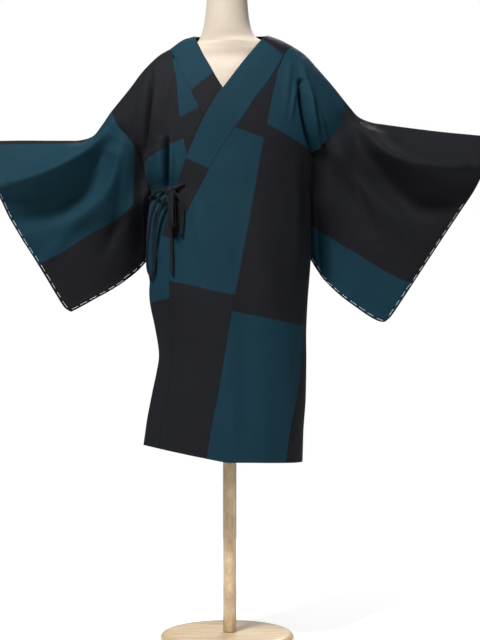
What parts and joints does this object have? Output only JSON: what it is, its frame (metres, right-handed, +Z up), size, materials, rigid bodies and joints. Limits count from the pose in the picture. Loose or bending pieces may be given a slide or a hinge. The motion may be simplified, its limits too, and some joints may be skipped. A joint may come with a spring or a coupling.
{
  "type": "kimono coat on dress form",
  "caption": "Wide-sleeved kimono coat of large teal and black blocks, crossed left over right and tied at the side, worn by a limbless dress form on a round wooden base.",
  "frame": {"origin": "centre of the underside of the dress form's base", "axes": "+Z up, the coat's front faces -Y, +X is the wearer's left"},
  "size_m": [1.1341, 0.3, 1.479],
  "materials": {
    "coat_cloth": "matte woven cloth in teal and black blocks",
    "tie_cloth": "the coat's cloth, sewn into a flat cord",
    "basting_thread": "white cotton thread",
    "form_cover": "smooth ivory jersey",
    "stand_wood": "satin varnished pale wood"
  },
  "bodies": {
    "root": {"body_left": "coat_cloth", "body_right": "coat_cloth", "okumi_left": "coat_cloth", "okumi_right": "coat_cloth", "collar_left": "coat_cloth", "collar_right": "coat_cloth", "sleeve_left": "coat_cloth", "sleeve_right": "coat_cloth", "tie_waist": "tie_cloth", "tie_lead": "tie_cloth", "tie_knot": "tie_cloth", "tie_loop_long": "tie_cloth", "tie_loop_short": "tie_cloth", "tie_tail_short": "tie_cloth", "tie_tail_long": "tie_cloth", "form_torso": "form_cover", "form_pole": "stand_wood", "form_base": "stand_wood"}
  },
  "joints": []
}
